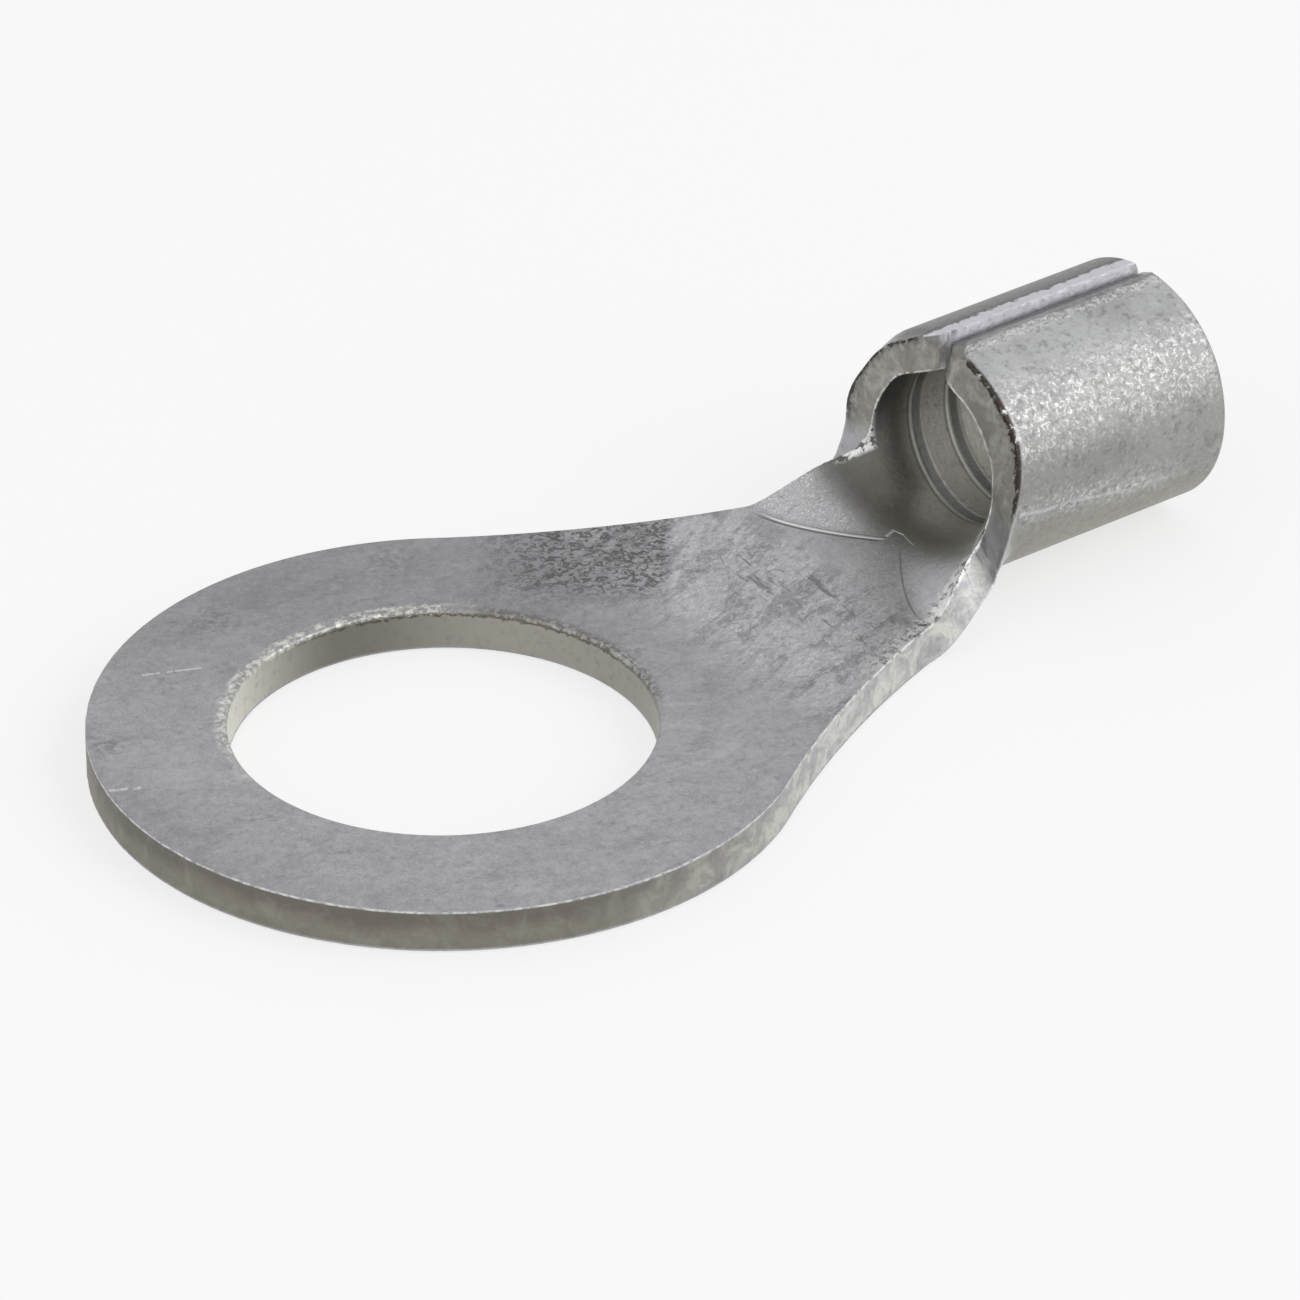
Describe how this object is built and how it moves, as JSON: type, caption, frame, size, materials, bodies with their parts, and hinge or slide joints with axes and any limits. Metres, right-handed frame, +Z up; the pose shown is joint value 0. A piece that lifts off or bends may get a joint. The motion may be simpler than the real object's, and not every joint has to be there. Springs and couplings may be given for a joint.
{
  "type": "ring terminal",
  "caption": "Uninsulated crimp ring terminal: a flat ring for a stud whose neck curls up into a rolled barrel with a V seam on top, for a stranded wire.",
  "frame": {"origin": "centre of the stud hole on the underside of the flat tongue", "axes": "+X from the stud hole along the part to the mouth where the wire goes in, +Z up out of the tongue's top face, on the side of the barrel's seam"},
  "size_m": [0.031, 0.0176, 0.0063],
  "materials": {
    "tinned_copper": "dull electroplated tin over copper, lightly scuffed"
  },
  "bodies": {
    "root": {"terminal_body": "tinned_copper"}
  },
  "joints": []
}
